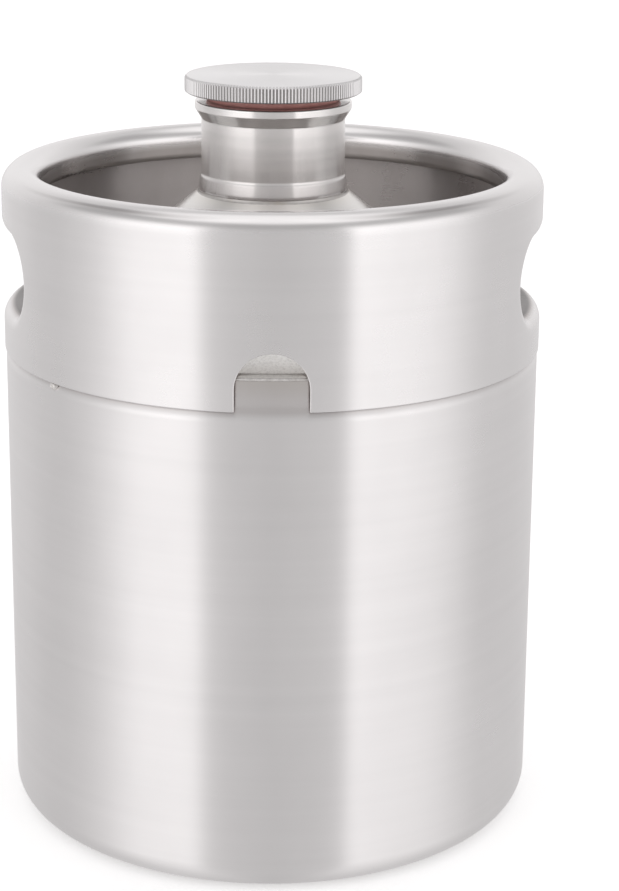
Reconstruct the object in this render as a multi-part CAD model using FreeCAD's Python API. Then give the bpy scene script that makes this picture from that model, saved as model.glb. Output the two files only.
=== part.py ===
import FreeCAD, Part
import math
import os

# Two-litre stainless steel soda keg with a screw cap.
#
# A drawn cup and a pressed dome are welded at the girth to make the pressure vessel.
# A turned neck with an internal parallel thread is welded into the dome. A rolled-rim
# collar with two hand-holds and two drain notches sits over a joggle in the wall and is
# tack-welded at its lower edge. A knurled cap with a hollow threaded plug screws down
# onto a silicone gasket.
#
# Frame: millimetres, +Z up, origin at the centre of the base on the resting plane.
# The hand-holds face +X and -X, the drain notches face -Y and +Y.
# Names ending in _R are radii from the Z axis unless noted, _Z are heights,
# and _BEND are fillet radii on the outside of the outline.

V = FreeCAD.Vector

# ---------------------------------------------------------------- driving dimensions
COLLAR_R = 67.5          # outside of the collar: 135 mm across
COLLAR_T = 0.8           # collar sheet
COLLAR_Z0 = 120.0        # lower edge of the collar
COLLAR_Z1 = 165.5        # top of the rolled rim
RIM_Z0 = 159.0           # where the pierced wall ends and the rim section begins
RIM_OUT_BEND = 5.0
RIM_IN_BEND = 4.5
RIM_INNER_R = 57.9       # rim's inner face
RIM_CURL_Z = 156.5       # lowest point of the rim's inner leg
RIM_CURL_BEND = 1.8
RIM_CURL_END_R = 61.2    # where the curled edge ends

HOLD_HALF_W = 30.9       # hand-hold: half width of the clear opening, along the wall
HOLD_HALF_H = 9.5        # half height of the clear opening
HOLD_Z = 140.6           # height of its centre
HOLD_BEND = 3.5          # outer bend of the turned-in edge
HOLD_DEPTH = 5.0         # how far the edge turns in from the outside
HOLD_GAP = 0.2           # clearance between the turned-in edge and the vessel

NOTCH_R = 8.65           # drain notch: half width and radius of its arch
NOTCH_RISE = 5.2         # straight part of its sides

BODY_R = 67.2            # outside of the vessel's wall
WALL_T = 0.8             # vessel sheet
NECKED_R = 65.7          # outside of the wall where the collar fits over it
JOGGLE_Z0 = 118.0
JOGGLE_Z1 = 121.2
JOGGLE_BEND = 3.2
GIRTH_Z = 127.5          # joint between cup and dome
BASE_CORNER_BEND = 6.5
BASE_RING_IN_R = 55.0    # inner edge of the flat standing ring
BASE_RING_BEND = 2.2     # bends either side of the slope inside the ring
BASE_RECESS_R = 50.5     # start of the raised centre
BASE_RECESS_Z = 3.6      # height of the raised centre at its edge
BASE_CENTRE_Z = 5.2      # height of the raised centre in the middle
BASE_CROWN_INSET = 14.0  # change of slope in the raised centre: in from its edge,
BASE_CROWN_RISE = 0.55   # above its edge,
BASE_CROWN_BEND = 60.0   # and its bend

NECK_R = 17.9
NECK_SPIGOT_R = 18.0
NECK_BORE_R = 14.0
NECK_Z0 = 157.0
NECK_RING_Z = 159.1      # underside of the neck's base ring
NECK_RING_R = 18.7       # base ring at its foot
NECK_RING_TOP_R = 18.2   # base ring at the top of its taper
NECK_TOP = 181.2
LIP_R = 19.5
LIP_Z0 = 176.8           # foot of the slope under the lip
LIP_Z1 = 179.3           # top of that slope

DOME_KNEE_Z = 128.4      # where the shoulder's lines would meet
DOME_SHOULDER_BEND = 1.4
DOME_MID_R = 40.0        # where the shallow and the steep slope would meet
DOME_MID_Z = 141.4
DOME_MID_BEND = 30.0
DOME_HOLE_R = NECK_SPIGOT_R
DOME_HOLE_Z = 159.08     # height of the outer surface at the hole
DOME_OVERRUN = 2.5       # how far the outline runs inside the hole before it is cut

PITCH = 2.0              # 30 mm parallel screw thread
FLANK_SLOPE = math.tan(math.radians(30))  # 60 degrees between flanks
THREAD_SINK = 0.2        # how far a ridge's root is buried in its part
NECK_MAJOR_R = 15.1
NECK_MINOR_R = NECK_BORE_R
NECK_HALF_TIP = PITCH / 8
NECK_THREAD_Z0 = 168.0
NECK_THREAD_H = 11.0
NECK_RELIEF_Z = 166.6    # bottom of the wide bore
NECK_STEP_Z = 165.9      # where it has narrowed to the plain bore
PLUG_MAJOR_R = 14.9
PLUG_MINOR_R = 13.75
PLUG_HALF_TIP = 0.13
PLUG_THREAD_Z0 = NECK_THREAD_Z0 + 2.5 * PITCH  # half a pitch out of step with the neck
PLUG_THREAD_H = 6.0

CAP_R = 22.0
CAP_Z0 = 183.25
CAP_Z1 = 187.5
CAP_CHAMFER = 0.55
CAP_EDGE = 0.5           # bevel around the underside
CAP_CLEAR = 0.3          # how far the trimming form stands outside the knurls
KNURLS = 166
KNURL_DEPTH = 0.36
PLUG_Z0 = 171.0
PLUG_CHAMFER = 0.5
PLUG_BORE_R = 11.5
PLUG_BORE_TOP = 184.6
PLUG_SHOULDER_R = 14.6   # plain band that centres the gasket
PLUG_SHOULDER_Z = 181.1
SHOULDER_CHAMFER = 0.2
PLUG_OVERLAP = 0.6       # how far the plug runs up into the cap's disc

GASKET_IN_R = 14.85      # squeezed ring, as it is when the cap is tight
GASKET_OUT_R = 16.75
GASKET_CORNER = 0.9

GIRTH_WELD_Z0 = GIRTH_Z - 0.45
GIRTH_WELD_Z1 = GIRTH_Z + 0.35
GIRTH_WELD_H = 0.2       # how far the bead stands off the wall

TACKS = 2                # tack welds at the collar's lower edge, evenly spaced
TACK_FIRST_DEG = -50.3   # from the front (-Y), negative towards -X
TACK_R = 1.2             # radius of the ball
TACK_INSET = 0.5         # its centre, in from the collar's outside
TACK_DROP = 0.7          # and below the collar's edge


# ---------------------------------------------------------------- outlines in (r, z)
# An outline is a list of rows (r, z, bend): a corner and its fillet radius, 0 for sharp.
# It becomes joints (start, middle, end), one per corner, with middle None when sharp.
def line(start, end):
    return Part.LineSegment(V(start[0], 0, start[1]), V(end[0], 0, end[1])).toShape()


def arc(start, middle, end):
    return Part.Arc(*[V(r, 0, z) for r, z in (start, middle, end)]).toShape()


def unit(x, y):
    length = math.hypot(x, y)
    return x / length, y / length


def heading(start, end):
    return unit(end[0] - start[0], end[1] - start[1])


def shifted(point, along, offset):
    """The point moved sideways, to the left of a heading."""
    return point[0] - offset * along[1], point[1] + offset * along[0]


def turn_angle(before, after):
    """Angle from one heading to the next, positive to the left."""
    cross = before[0] * after[1] - before[1] * after[0]
    return math.atan2(cross, before[0] * after[0] + before[1] * after[1])


def crossing(point1, along1, point2, along2):
    """Where two lines meet, each given by a point and a heading."""
    (x1, y1), (dx1, dy1) = point1, along1
    (x2, y2), (dx2, dy2) = point2, along2
    reach = ((x2 - x1) * dy2 - (y2 - y1) * dx2) / (dx1 * dy2 - dy1 * dx2)
    return x1 + reach * dx1, y1 + reach * dy1


def joint(corner, before, after, radius):
    if radius <= 1e-6:
        return corner, None, corner
    turn = turn_angle(before, after)
    side = 1 if turn > 0 else -1
    setback = radius * math.tan(abs(turn) / 2)
    start = (corner[0] - before[0] * setback, corner[1] - before[1] * setback)
    end = (corner[0] + after[0] * setback, corner[1] + after[1] * setback)
    centre = shifted(start, before, side * radius)
    outward = heading(centre, corner)
    middle = (centre[0] + outward[0] * radius, centre[1] + outward[1] * radius)
    return start, middle, end


def chain(joints):
    """Edges through the joints, an arc at each rounded one."""
    edges = []
    for (start, middle, end), following in zip(joints, joints[1:]):
        if middle is not None:
            edges.append(arc(start, middle, end))
        if math.dist(end, following[0]) > 1e-6:
            edges.append(line(end, following[0]))
    return edges


def path_edges(rows, offset):
    """Edges of an open outline, offset to its left. Also its two end points."""
    points = [(r, z) for r, z, _ in rows]
    heads = [heading(a, b) for a, b in zip(points, points[1:])]
    first = shifted(points[0], heads[0], offset)
    last = shifted(points[-1], heads[-1], offset)
    joints = [(first, None, first)]
    for i in range(1, len(points) - 1):
        before, after = heads[i - 1], heads[i]
        corner = crossing(
            shifted(points[i - 1], before, offset), before,
            shifted(points[i], after, offset), after,
        )
        side = 1 if turn_angle(before, after) > 0 else -1
        bend = rows[i][2]
        joints.append(joint(corner, before, after, bend - offset * side if bend > 0 else 0))
    joints.append((last, None, last))
    return chain(joints), first, last


# ---------------------------------------------------------------- solids
def facing_out(solid):
    """The solid, turned right side out if its volume is negative."""
    if solid.Volume < 0:
        solid.reverse()
    return solid


def turned(wire):
    return facing_out(Part.Face(wire).revolve(V(0, 0, 0), V(0, 0, 1), 360))


def sheet(rows, thickness):
    """Sheet turned about Z, its thickness laid on the left of an open outline."""
    outer, outer_first, outer_last = path_edges(rows, 0.0)
    inner, inner_first, inner_last = path_edges(rows, thickness)
    ends = [line(outer_first, inner_first), line(outer_last, inner_last)]
    return turned(Part.Wire(Part.__sortEdges__(outer + inner + ends)))


def lathe(rows):
    """A closed outline turned about Z."""
    points = [(r, z) for r, z, _ in rows]
    joints = []
    for i, (r, z, bend) in enumerate(rows):
        following = points[(i + 1) % len(points)]
        joints.append(joint((r, z), heading(points[i - 1], (r, z)),
                            heading((r, z), following), bend))
    return turned(Part.Wire(chain(joints + joints[:1])))


def thread(tip_r, root_r, half_tip, z0, height):
    """Ridge swept along a right-hand helix; its root is wider than its tip."""
    half_root = half_tip + abs(root_r - tip_r) * FLANK_SLOPE
    tip_low, tip_high = V(tip_r, 0, -half_tip), V(tip_r, 0, half_tip)
    root_low, root_high = V(root_r, 0, -half_root), V(root_r, 0, half_root)
    # Both orders run from the inner side to the outer along the bottom.
    if root_r > tip_r:
        corners = [tip_low, root_low, root_high, tip_high]
    else:
        corners = [tip_low, tip_high, root_high, root_low]
    section = Part.makePolygon(corners + corners[:1])
    helix = Part.makeHelix(PITCH, height, tip_r)
    ridge = facing_out(Part.Wire(helix.Edges).makePipeShell([section], True, True))
    ridge.translate(V(0, 0, z0))
    return ridge


def one(shape):
    """The single solid of a shape, or a compound when it holds several."""
    shape = shape.removeSplitter()
    return shape.Solids[0] if len(shape.Solids) == 1 else Part.Compound(shape.Solids)


# ---------------------------------------------------------------- vessel
def vessel_shell():
    """Drawn cup: raised centre, flat standing ring, rounded corner, straight wall, joggle."""
    return sheet(
        [
            (0.0, BASE_CENTRE_Z, 0),
            (BASE_RECESS_R - BASE_CROWN_INSET, BASE_RECESS_Z + BASE_CROWN_RISE, BASE_CROWN_BEND),
            (BASE_RECESS_R, BASE_RECESS_Z, BASE_RING_BEND),
            (BASE_RING_IN_R, 0.0, BASE_RING_BEND),
            (BODY_R, 0.0, BASE_CORNER_BEND),
            (BODY_R, JOGGLE_Z0, JOGGLE_BEND),
            (NECKED_R, JOGGLE_Z1, JOGGLE_BEND),
            (NECKED_R, GIRTH_Z, 0),
        ],
        WALL_T,
    )


def dome_outline(z0):
    """Outside of the dome from height z0 on the wall to a little inside the neck hole."""
    run = DOME_MID_R - DOME_HOLE_R
    stretch = (run + DOME_OVERRUN) / run
    tip_z = DOME_MID_Z + (DOME_HOLE_Z - DOME_MID_Z) * stretch
    return [
        (NECKED_R, z0, 0),
        (NECKED_R, DOME_KNEE_Z, DOME_SHOULDER_BEND),
        (DOME_MID_R, DOME_MID_Z, DOME_MID_BEND),
        (DOME_MID_R - run * stretch, tip_z, 0),
    ]


def vessel_dome():
    """Pressed top end: tight shoulder, shallow cone, steeper up to the neck."""
    hole = Part.makeCylinder(DOME_HOLE_R, 60, V(0, 0, 130))
    return one(sheet(dome_outline(GIRTH_Z), WALL_T).cut(hole))


def dome_envelope(gap):
    """Solid that fills the dome and the wall below it, grown by a gap."""
    edges, low, high = path_edges(dome_outline(JOGGLE_Z1), -gap)
    axis_low, axis_high = (0, low[1]), (0, high[1])
    edges += [line(high, axis_high), line(axis_high, axis_low), line(axis_low, low)]
    return turned(Part.Wire(Part.__sortEdges__(edges)))


def girth_weld():
    """Low bead laid over the joint between cup and dome."""
    low, high = (NECKED_R, GIRTH_WELD_Z0), (NECKED_R, GIRTH_WELD_Z1)
    crest = (NECKED_R + GIRTH_WELD_H, (GIRTH_WELD_Z0 + GIRTH_WELD_Z1) / 2)
    return turned(Part.Wire([arc(low, crest, high), line(high, low)]))


def neck_weld(dome, neck_part):
    """Small fillet weld between the neck's base ring and the dome."""
    # Section before the parts are cut away: radius, drop below the ring's underside.
    spigot_low, spigot_high, top, bulge, toe, bottom = [
        (r, NECK_RING_Z - drop)
        for r, drop in (
            (NECK_SPIGOT_R, 0.6), (NECK_SPIGOT_R, 0), (18.6, 0),
            (18.78, 0.5), (19.15, 0.98), (19.15, 1.5),
        )
    ]
    section = Part.Wire([
        line(spigot_low, spigot_high),
        line(spigot_high, top),
        arc(top, bulge, toe),
        line(toe, bottom),
        line(bottom, spigot_low),
    ])
    ring = turned(section).cut(dome).cut(neck_part)
    return max(ring.Solids, key=lambda solid: solid.BoundBox.XMax)


def collar_tack_welds(shell):
    """Small blobs in the joggle that join the wall to the collar's lower edge."""
    blobs = []
    for i in range(TACKS):
        angle = math.radians(TACK_FIRST_DEG + 360.0 * i / TACKS)
        r = COLLAR_R - TACK_INSET
        centre = V(r * math.sin(angle), -r * math.cos(angle), COLLAR_Z0 - TACK_DROP)
        below_collar = Part.makeBox(200, 200, 20, V(-100, -100, COLLAR_Z0 - 20))
        blob = Part.makeSphere(TACK_R, centre).common(below_collar).cut(shell)
        blobs.append(max(blob.Solids, key=lambda solid: solid.Volume))
    return Part.Compound(blobs)


# ---------------------------------------------------------------- neck
def neck():
    """Turned neck: spigot, base ring, flared lip and threaded bore."""
    body = lathe([
        (NECK_BORE_R, NECK_Z0, 0.3),
        (NECK_SPIGOT_R, NECK_Z0, 0),
        (NECK_SPIGOT_R, NECK_RING_Z, 0),
        (NECK_RING_R, NECK_RING_Z, 0.2),
        (NECK_RING_R, NECK_RING_Z + 0.7, 0.4),
        (NECK_RING_TOP_R, NECK_RING_Z + 3.4, 0.6),
        (NECK_R, NECK_RING_Z + 4.0, 0.6),
        (NECK_R, LIP_Z0, 0.5),
        (LIP_R, LIP_Z1, 0.5),
        (LIP_R, NECK_TOP, 0.45),
        (NECK_MAJOR_R + 0.4, NECK_TOP, 0),
        (NECK_MAJOR_R, NECK_TOP - 0.7, 0),
        (NECK_MAJOR_R, NECK_RELIEF_Z, 0),
        (NECK_BORE_R, NECK_STEP_Z, 0),
    ])
    ridge = thread(NECK_MINOR_R, NECK_MAJOR_R + THREAD_SINK, NECK_HALF_TIP,
                   NECK_THREAD_Z0, NECK_THREAD_H)
    return one(body.fuse(ridge))


# ---------------------------------------------------------------- collar
def hold_cutter(half_height, facing):
    """Obround opening through the wall at an angle from +X, its ends on radial axes."""
    spread = math.degrees((HOLD_HALF_W - HOLD_HALF_H) / COLLAR_R)
    cutter = Part.makeCylinder(
        85, 2 * half_height, V(0, 0, HOLD_Z - half_height), V(0, 0, 1), 2 * spread
    )
    cutter.rotate(V(0, 0, 0), V(0, 0, 1), facing - spread)
    for end in (facing - spread, facing + spread):
        radial = V(math.cos(math.radians(end)), math.sin(math.radians(end)), 0)
        cutter = cutter.fuse(
            Part.makeCylinder(half_height, 50, V(0, 0, HOLD_Z) + radial * 35, radial)
        )
    return cutter


def collar_form(inset):
    """Thick pierced tube whose outside is one skin of the sheet, inset from the outer one."""
    r = COLLAR_R - inset
    half_height = HOLD_HALF_H + inset
    height = RIM_Z0 - COLLAR_Z0
    foot = V(0, 0, COLLAR_Z0)
    tube = Part.makeCylinder(r, height, foot).cut(Part.makeCylinder(50, height, foot))
    for facing in (0.0, 180.0):
        tube = tube.cut(hold_cutter(half_height, facing))

    def rims_hold(edge):
        """Whether the edge follows a hand-hold on the tube's outside."""
        return edge.Length > 1 and all(
            abs(math.hypot(p.x, p.y) - r) < 1e-3 and abs(p.z - HOLD_Z) < half_height + 0.01
            for p in edge.discretize(7)
        )

    return tube.makeFillet(HOLD_BEND - inset, [e for e in tube.Edges if rims_hold(e)])


def notch_cutter(side):
    """Arched drain notch, cut from the middle out towards +Y or -Y."""
    z0, z1 = COLLAR_Z0 - 1, COLLAR_Z0 + NOTCH_RISE
    arch = Part.Wire([
        line((-NOTCH_R, z0), (NOTCH_R, z0)),
        line((NOTCH_R, z0), (NOTCH_R, z1)),
        arc((NOTCH_R, z1), (0, z1 + NOTCH_R), (-NOTCH_R, z1)),
        line((-NOTCH_R, z1), (-NOTCH_R, z0)),
    ])
    return Part.Face(arch).extrude(V(0, side * 80, 0))


def collar():
    """Sheet collar with a rolled rim, turned-in hand-holds and drain notches."""
    rim = sheet(
        [
            (COLLAR_R, RIM_Z0, 0),
            (COLLAR_R, COLLAR_Z1, RIM_OUT_BEND),
            (RIM_INNER_R, COLLAR_Z1, RIM_IN_BEND),
            (RIM_INNER_R, RIM_CURL_Z, RIM_CURL_BEND),
            (RIM_CURL_END_R, RIM_CURL_Z, 0),
        ],
        COLLAR_T,
    )
    wall = collar_form(0.0).cut(collar_form(COLLAR_T))
    # The turned-in edges are trimmed to their depth, then clear of the dome.
    keep = Part.makeCylinder(COLLAR_R + 5, 60, V(0, 0, 110)).cut(
        Part.makeCylinder(COLLAR_R - HOLD_DEPTH, 60, V(0, 0, 110))
    )
    wall = wall.common(keep).cut(dome_envelope(HOLD_GAP))
    body = wall.fuse(rim)
    for side in (1, -1):
        body = body.cut(notch_cutter(side))
    return one(body)


# ---------------------------------------------------------------- cap and gasket
def knurled_disc():
    """Disc with a flat and a vee for each knurl, bevelled by a turned form."""
    half_step = math.pi / KNURLS
    points = []
    for i in range(KNURLS):
        for steps, r in ((-0.5, CAP_R), (0.5, CAP_R), (1, CAP_R - KNURL_DEPTH)):
            angle = 2 * math.pi * i / KNURLS + steps * half_step
            points.append(V(r * math.cos(angle), r * math.sin(angle), CAP_Z0))
    disc = Part.Face(Part.makePolygon(points + points[:1])).extrude(V(0, 0, CAP_Z1 - CAP_Z0))
    form = lathe([
        (0, CAP_Z0 - 0.5, 0),
        (CAP_R - CAP_EDGE, CAP_Z0 - 0.5, 0),
        (CAP_R - CAP_EDGE, CAP_Z0, 0),
        (CAP_R + CAP_CLEAR, CAP_Z0 + CAP_EDGE, 0),
        (CAP_R + CAP_CLEAR, CAP_Z1 - CAP_CHAMFER - CAP_CLEAR, 0),
        (CAP_R - CAP_CHAMFER, CAP_Z1, 0.5),
        (0, CAP_Z1, 0),
    ])
    return disc.common(form)


def cap():
    """Knurled disc on a hollow threaded plug."""
    plug = lathe([
        (PLUG_BORE_R, PLUG_Z0, 0.3),
        (PLUG_MINOR_R - PLUG_CHAMFER, PLUG_Z0, 0),
        (PLUG_MINOR_R, PLUG_Z0 + PLUG_CHAMFER, 0),
        (PLUG_MINOR_R, PLUG_SHOULDER_Z - 0.4, 0),
        (PLUG_SHOULDER_R - SHOULDER_CHAMFER, PLUG_SHOULDER_Z, 0),
        (PLUG_SHOULDER_R, PLUG_SHOULDER_Z + SHOULDER_CHAMFER, 0),
        (PLUG_SHOULDER_R, CAP_Z0 + PLUG_OVERLAP, 0),
        (PLUG_BORE_R, CAP_Z0 + PLUG_OVERLAP, 0),
    ])
    ridge = thread(PLUG_MAJOR_R, PLUG_MINOR_R - THREAD_SINK, PLUG_HALF_TIP,
                   PLUG_THREAD_Z0, PLUG_THREAD_H)
    bore = Part.makeCylinder(PLUG_BORE_R, PLUG_BORE_TOP - CAP_Z0 + 1, V(0, 0, CAP_Z0 - 1))
    return one(knurled_disc().cut(bore).fuse(plug).fuse(ridge))


def cap_gasket():
    """Ring between the neck's top and the cap's underside."""
    return lathe([
        (GASKET_IN_R, NECK_TOP, GASKET_CORNER),
        (GASKET_OUT_R, NECK_TOP, GASKET_CORNER),
        (GASKET_OUT_R, CAP_Z0, GASKET_CORNER),
        (GASKET_IN_R, CAP_Z0, GASKET_CORNER),
    ])


# ---------------------------------------------------------------- build
def main():
    os.makedirs("parts", exist_ok=True)
    shell, dome, neck_part = vessel_shell(), vessel_dome(), neck()
    parts = {
        "vessel_shell": shell,
        "vessel_dome": dome,
        "neck": neck_part,
        "collar": collar(),
        "cap": cap(),
        "cap_gasket": cap_gasket(),
        "girth_weld": girth_weld(),
        "neck_weld": neck_weld(dome, neck_part),
        "collar_tack_welds": collar_tack_welds(shell),
    }
    for name, shape in parts.items():
        shape.exportStep(f"parts/{name}.step")


main()
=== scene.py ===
"""A small steel keg with a pressed collar, a threaded neck, a knurled cap and a silicone gasket.

It stands on z = 0 with its axis on z. The front faces -y. The hand-holds of the collar are
on the -x and +x sides, and the notches in its lower edge are at the front and back.
Outlines are in millimetres and turn about the axis; meshes are in metres.
"""
import math

import bmesh
import bpy
import numpy as np
from mathutils import Matrix, Vector
from mathutils.geometry import delaunay_2d_cdt


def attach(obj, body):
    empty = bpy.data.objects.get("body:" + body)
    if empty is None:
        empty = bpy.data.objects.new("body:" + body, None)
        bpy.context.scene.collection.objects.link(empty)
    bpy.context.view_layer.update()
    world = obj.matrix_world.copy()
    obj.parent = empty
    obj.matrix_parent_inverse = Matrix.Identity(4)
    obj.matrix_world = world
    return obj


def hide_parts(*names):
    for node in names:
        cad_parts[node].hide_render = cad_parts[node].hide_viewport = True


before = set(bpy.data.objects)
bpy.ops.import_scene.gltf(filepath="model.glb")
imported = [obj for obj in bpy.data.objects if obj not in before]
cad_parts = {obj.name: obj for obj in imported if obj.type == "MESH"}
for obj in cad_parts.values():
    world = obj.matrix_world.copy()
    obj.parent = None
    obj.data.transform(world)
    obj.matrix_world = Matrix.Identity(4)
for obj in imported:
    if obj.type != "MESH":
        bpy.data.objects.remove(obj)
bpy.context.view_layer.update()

MM = 0.001
TAU = 2 * math.pi
DEG = math.pi / 180

# ---------------------------------------------------------------- sizes, in millimetres
# Vessel
BODY_R = 67.2
WALL_T = 0.8
NECKED_R = 65.7  # narrower wall under the collar
NECKED_Z = 121.2
GIRTH_Z = 127.5  # seam between shell and dome
DOME_HOLE_R = 18.0
DOME_HOLE_Z = 159.08
DOME_MID = (40.0, 141.4)  # (r, z) where the two slopes of the dome meet
DOME_OVERRUN = 2.5  # how far the slope runs past the hole before it is clipped

# Collar
COLLAR_R = 67.5
COLLAR_T = 0.8
COLLAR_Z0 = 120.0
COLLAR_Z1 = 165.5
RIM_SPLIT = 158.5  # the rolled rim starts here
RIM_COLUMNS = 72  # per quarter
HOLD_HALF_W = 30.9
HOLD_HALF_H = 9.5
HOLD_Z = 140.6
HOLD_BEND = 3.5
HOLD_DEPTH = 5.0
HOLD_GAP = 0.2  # clearance between flange and vessel
FLANGE_STEPS = 14
NOTCH_R = 8.65
NOTCH_RISE = 5.2  # straight sides below the arch
QUARTER = COLLAR_R * math.pi / 2  # unrolled length of a quarter

# Neck and cap
NECK_RING_Z = 159.1
NECK_TOP = 181.2
NECK_R = 17.9
LIP_R = 19.5
BORE_R = 15.1
PLUG_R = 13.75
PITCH = 2.0
CAP_R = 22.0
CAP_Z0 = 183.25
CAP_Z1 = 187.5
KNURLS = 166

# ---------------------------------------------------------------- outlines: (r, z, corner radius)
SHELL_OUTLINE = [
    (0.0, 5.2, 0), (36.5, 4.15, 60.0), (50.5, 3.6, 2.2), (55.0, 0.0, 2.2), (BODY_R, 0.0, 6.5),
    (BODY_R, 118.0, 3.2), (NECKED_R, NECKED_Z, 3.2), (NECKED_R, GIRTH_Z, 0),
]
DOME_RUN = DOME_MID[0] - DOME_HOLE_R
DOME_RISE = DOME_HOLE_Z - DOME_MID[1]
DOME_REACH = (DOME_RUN + DOME_OVERRUN) / DOME_RUN
DOME_OUTLINE = [
    (NECKED_R, GIRTH_Z, 0), (NECKED_R, 128.4, 1.4), (*DOME_MID, 30.0),
    (DOME_MID[0] - DOME_RUN * DOME_REACH, DOME_MID[1] + DOME_RISE * DOME_REACH, 0),
]
RIM_OUTLINE = [
    (COLLAR_R, RIM_SPLIT, 0), (COLLAR_R, COLLAR_Z1, 5.0), (57.9, COLLAR_Z1, 4.5),
    (57.9, 156.5, 1.8), (61.2, 156.5, 0),
]
NECK_OUTLINE = [
    (14.0, 157.0, 0.3), (18.0, 157.0, 0.2), (18.0, NECK_RING_Z, 0), (18.7, NECK_RING_Z, 0.2),
    (18.7, NECK_RING_Z + 0.7, 3.0), (18.2, NECK_RING_Z + 3.4, 1.7),
    (NECK_R, NECK_RING_Z + 4.0, 1.7), (NECK_R, 176.8, 0.5), (LIP_R, 179.3, 0.5),
    (LIP_R, NECK_TOP, 0.45), (15.5, NECK_TOP, 0.15), (BORE_R, NECK_TOP - 0.7, 0),
    (BORE_R, 166.6, 0), (14.0, 165.9, 0),
]
CAP_OUTLINE = [
    (0.0, CAP_Z1, 0), (21.45, CAP_Z1, 0.35), (CAP_R, CAP_Z1 - 0.62, 0.15),
    (CAP_R, CAP_Z0 + 0.31, 0.15), (21.5, CAP_Z0, 0.15), (14.6, CAP_Z0, 0.2), (14.6, 181.3, 0.1),
    (PLUG_R, 180.7, 0), (PLUG_R, 171.5, 0), (13.25, 171.0, 0.1), (11.5, 171.0, 0.3),
    (11.5, 184.6, 0.8), (0.0, 184.6, 0),
]
GASKET_OUTLINE = [
    (14.85, NECK_TOP, 0.9), (16.75, NECK_TOP, 0.9), (16.75, CAP_Z0, 0.9), (14.85, CAP_Z0, 0.9),
]


# ---------------------------------------------------------------- outline helpers
def rounded_corner(before, after, radius, offset, arc_step):
    """Arc joining two sides, each given as (x, y, direction x, direction y)."""
    x1, y1, dx1, dy1 = before
    x2, y2, dx2, dy2 = after
    cross = dx1 * dy2 - dy1 * dx2
    along = ((x2 - x1) * dy2 - (y2 - y1) * dx2) / cross
    x, y = x1 + along * dx1, y1 + along * dy1
    if radius == 0:
        return [(x, y)]
    turn = math.atan2(cross, dx1 * dx2 + dy1 * dy2)
    side = 1 if turn > 0 else -1
    radius -= offset * side
    setback = radius * math.tan(abs(turn) / 2)
    start_x, start_y = x - dx1 * setback, y - dy1 * setback
    centre_x = start_x - side * dy1 * radius
    centre_y = start_y + side * dx1 * radius
    steps = max(3, math.ceil(math.degrees(abs(turn)) / arc_step))
    first = math.atan2(start_y - centre_y, start_x - centre_x)
    angles = [first + turn * j / steps for j in range(steps + 1)]
    return [(centre_x + radius * math.cos(a), centre_y + radius * math.sin(a)) for a in angles]


def between(start, end, max_step, guard=0.25):
    """Points inside a straight side: one close to each end, and evenly spaced ones."""
    length = math.hypot(end[0] - start[0], end[1] - start[1])
    if length <= 3 * guard:
        return []
    parts = int(length // max_step) + 1
    marks = {guard / length, 1 - guard / length} | {j / parts for j in range(1, parts)}
    run, rise = end[0] - start[0], end[1] - start[1]
    return [(start[0] + run * t, start[1] + rise * t) for t in sorted(marks)]


def rounded(outline, offset=0.0, closed=False, arc_step=5.0, max_step=5.0):
    """Dense (r, z) points along an outline, moved offset to its left. arc_step is in degrees."""
    count = len(outline)
    points = [row[:2] for row in outline]
    sides = []
    for (x, y), (next_x, next_y) in zip(points, points[1:] + (points[:1] if closed else [])):
        length = math.hypot(next_x - x, next_y - y)
        dx, dy = (next_x - x) / length, (next_y - y) / length
        sides.append((x - offset * dy, y + offset * dx, dx, dy))
    corners = []
    for i, (x, y, radius) in enumerate(outline):
        if closed or 0 < i < count - 1:
            corners.append(rounded_corner(sides[i - 1], sides[i], radius, offset, arc_step))
        else:
            dx, dy = sides[0 if i == 0 else -1][2:]
            corners.append([(x - offset * dy, y + offset * dx)])
    dense = []
    for i, corner in enumerate(corners):
        dense += corner
        if closed or i < count - 1:
            dense += between(corner[-1], corners[(i + 1) % count][0], max_step)
    clean = [dense[0]]
    for point in dense[1:]:
        if math.hypot(point[0] - clean[-1][0], point[1] - clean[-1][1]) > 1e-4:
            clean.append(point)
    return clean


def clip_inner(points, inner_r):
    """Keeps the part of an inward-running outline that is outside inner_r."""
    kept = []
    for (r, z), (next_r, next_z) in zip(points, points[1:]):
        if r >= inner_r - 1e-9:
            kept.append((r, z))
            if next_r < inner_r:
                kept.append((inner_r, z + (next_z - z) * (r - inner_r) / (r - next_r)))
    return kept


def refine_wall(line, radius, shortest, step):
    """Adds points along the upright wall at this radius, to carry a thread."""
    refined = []
    for start, end in zip(line, line[1:] + line[:1]):
        refined.append(start)
        rise = end[1] - start[1]
        upright = abs(start[0] - radius) < 0.02 and abs(end[0] - radius) < 0.02
        if upright and abs(rise) > shortest:
            parts = int(abs(rise) / step) + 1
            refined += [(radius, start[1] + rise * j / parts) for j in range(1, parts)]
    return refined


# ---------------------------------------------------------------- mesh helpers
def link_object(name, mesh):
    ob = bpy.data.objects.new(name, mesh)
    bpy.context.scene.collection.objects.link(ob)
    return ob


def mesh_object(name, verts, faces, sharp, merge=2e-7, hidden=None):
    """Smooth-shaded object from vertices in mm; edges above sharp degrees stay sharp."""
    mesh = bpy.data.meshes.new(name)
    mesh.from_pydata((np.array(verts) * MM).tolist(), [], faces)
    if hidden is not None:
        # flags that the collar material turns into painted shade
        mesh.attributes.new("painted_shade_depth", "FLOAT", "POINT").data.foreach_set("value", hidden)
    bm = bmesh.new()
    bm.from_mesh(mesh)
    bmesh.ops.remove_doubles(bm, verts=bm.verts, dist=merge)
    bmesh.ops.recalc_face_normals(bm, faces=bm.faces)
    limit = math.radians(sharp)
    for face in bm.faces:
        face.smooth = True
    for edge in bm.edges:
        edge.smooth = len(edge.link_faces) == 2 and edge.calc_face_angle(0.0) < limit
    bm.to_mesh(mesh)
    bm.free()
    return link_object(name, mesh)


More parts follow.
